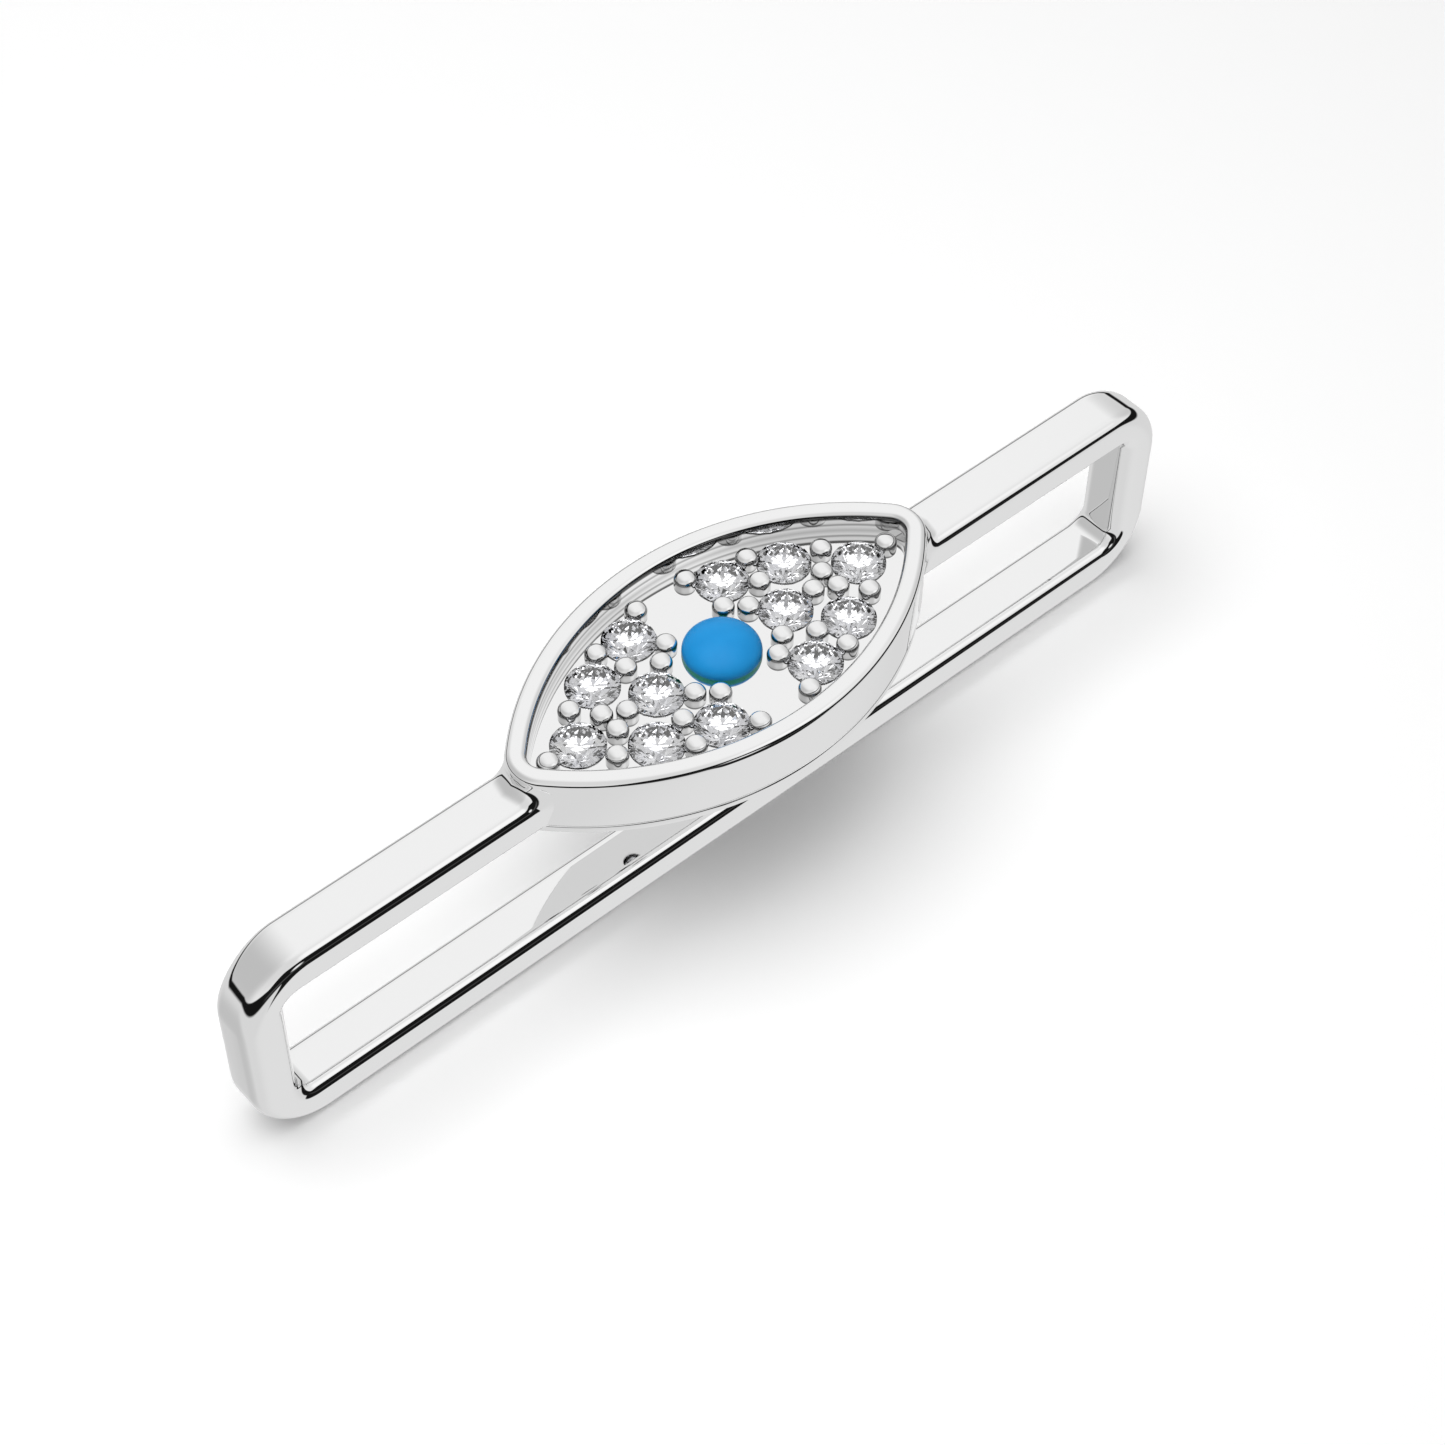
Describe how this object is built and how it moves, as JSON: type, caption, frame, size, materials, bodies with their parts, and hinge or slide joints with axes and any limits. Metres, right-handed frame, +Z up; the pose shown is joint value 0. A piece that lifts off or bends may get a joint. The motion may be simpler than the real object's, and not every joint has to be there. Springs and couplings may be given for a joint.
{
  "type": "ornamental strap slide",
  "caption": "Closed rectangular slide of polished strip whose top bar carries a raised eye-shaped head with round clear stones, domed prongs and a blue centre disc.",
  "frame": {"origin": "middle of the underside of the lower bar", "axes": "+X along the loop towards one end leg, +Y through the slot, +Z up towards the set face of the head"},
  "size_m": [0.028, 0.0064, 0.0065],
  "materials": {
    "strip_metal": "mirror polish",
    "head_metal": "mirror polish",
    "prong_metal": "mirror polish",
    "clear_stone": "cut and polished facets",
    "blue_disc": "polished, opaque"
  },
  "bodies": {
    "root": {"band_loop": "strip_metal", "bezel_wall": "head_metal", "floor_plate": "head_metal", "centre_disc": "blue_disc", "stone_01": "clear_stone", "stone_02": "clear_stone", "stone_03": "clear_stone", "stone_04": "clear_stone", "stone_05": "clear_stone", "stone_06": "clear_stone", "stone_07": "clear_stone", "stone_08": "clear_stone", "stone_09": "clear_stone", "stone_10": "clear_stone", "stone_11": "clear_stone", "stone_12": "clear_stone", "prong_01": "prong_metal", "prong_02": "prong_metal", "prong_03": "prong_metal", "prong_04": "prong_metal", "prong_05": "prong_metal", "prong_06": "prong_metal", "prong_07": "prong_metal", "prong_08": "prong_metal", "prong_09": "prong_metal", "prong_10": "prong_metal", "prong_11": "prong_metal", "prong_12": "prong_metal", "prong_13": "prong_metal", "prong_14": "prong_metal", "prong_15": "prong_metal", "prong_16": "prong_metal", "prong_17": "prong_metal", "prong_18": "prong_metal", "prong_19": "prong_metal", "prong_20": "prong_metal", "prong_21": "prong_metal", "prong_22": "prong_metal", "prong_23": "prong_metal", "prong_24": "prong_metal", "prong_25": "prong_metal", "prong_26": "prong_metal", "prong_27": "prong_metal", "prong_28": "prong_metal", "prong_29": "prong_metal", "prong_30": "prong_metal", "prong_31": "prong_metal", "prong_32": "prong_metal"}
  },
  "joints": []
}
